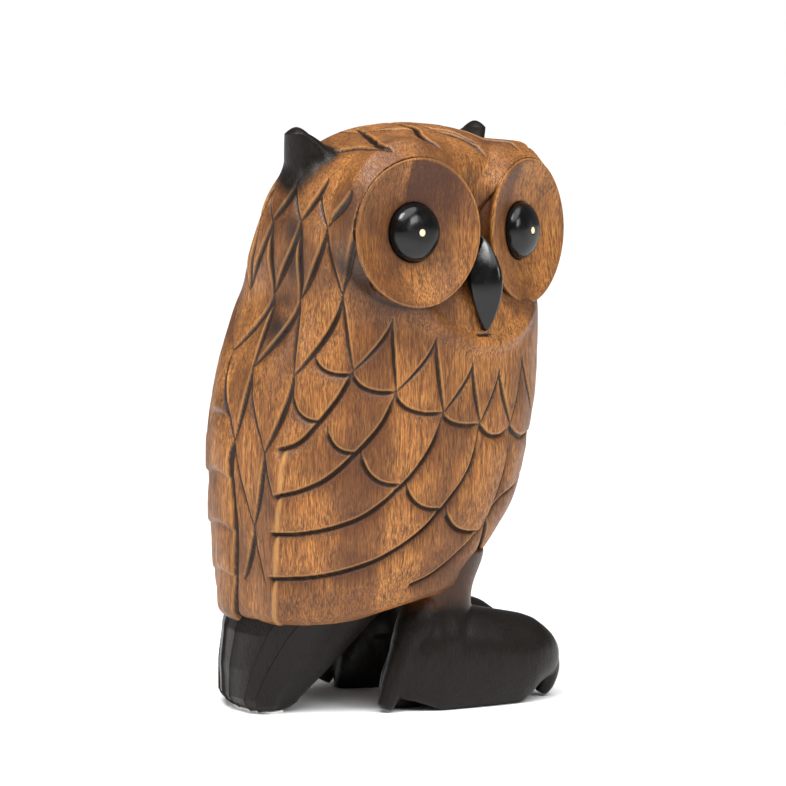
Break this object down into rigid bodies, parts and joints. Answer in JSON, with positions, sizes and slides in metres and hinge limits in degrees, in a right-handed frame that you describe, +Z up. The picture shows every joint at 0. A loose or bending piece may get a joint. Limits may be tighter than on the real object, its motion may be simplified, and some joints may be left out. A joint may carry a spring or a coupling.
{
  "type": "carved owl figurine",
  "caption": "Free-standing carved wooden owl with a turned head, dished face discs, domed eyes, an inset beak, feather relief, large feet and a fan tail that props it up.",
  "frame": {"origin": "middle of the figure's box, on the surface it stands on", "axes": "+Z up; the feet point to -Y and the tail is at +Y; the owl's own right side is -X, and its head is turned about 67 degrees towards it"},
  "size_m": [0.215, 0.2424, 0.4],
  "materials": {
    "carved_wood": "warm brown hardwood, gouge-carved, waxed to a satin; ears, feet and tail stained black-brown",
    "black_lacquer": "turned and filed wood under glossy black lacquer",
    "pale_wood": "bare pale wood, end grain, satin",
    "pad_felt": "thin off-white felt"
  },
  "bodies": {
    "root": {"carved_body": "carved_wood", "beak": "black_lacquer", "right_eye": "black_lacquer", "left_eye": "black_lacquer", "right_pupil_peg": "pale_wood", "left_pupil_peg": "pale_wood", "tail_pad": "pad_felt"}
  },
  "joints": []
}
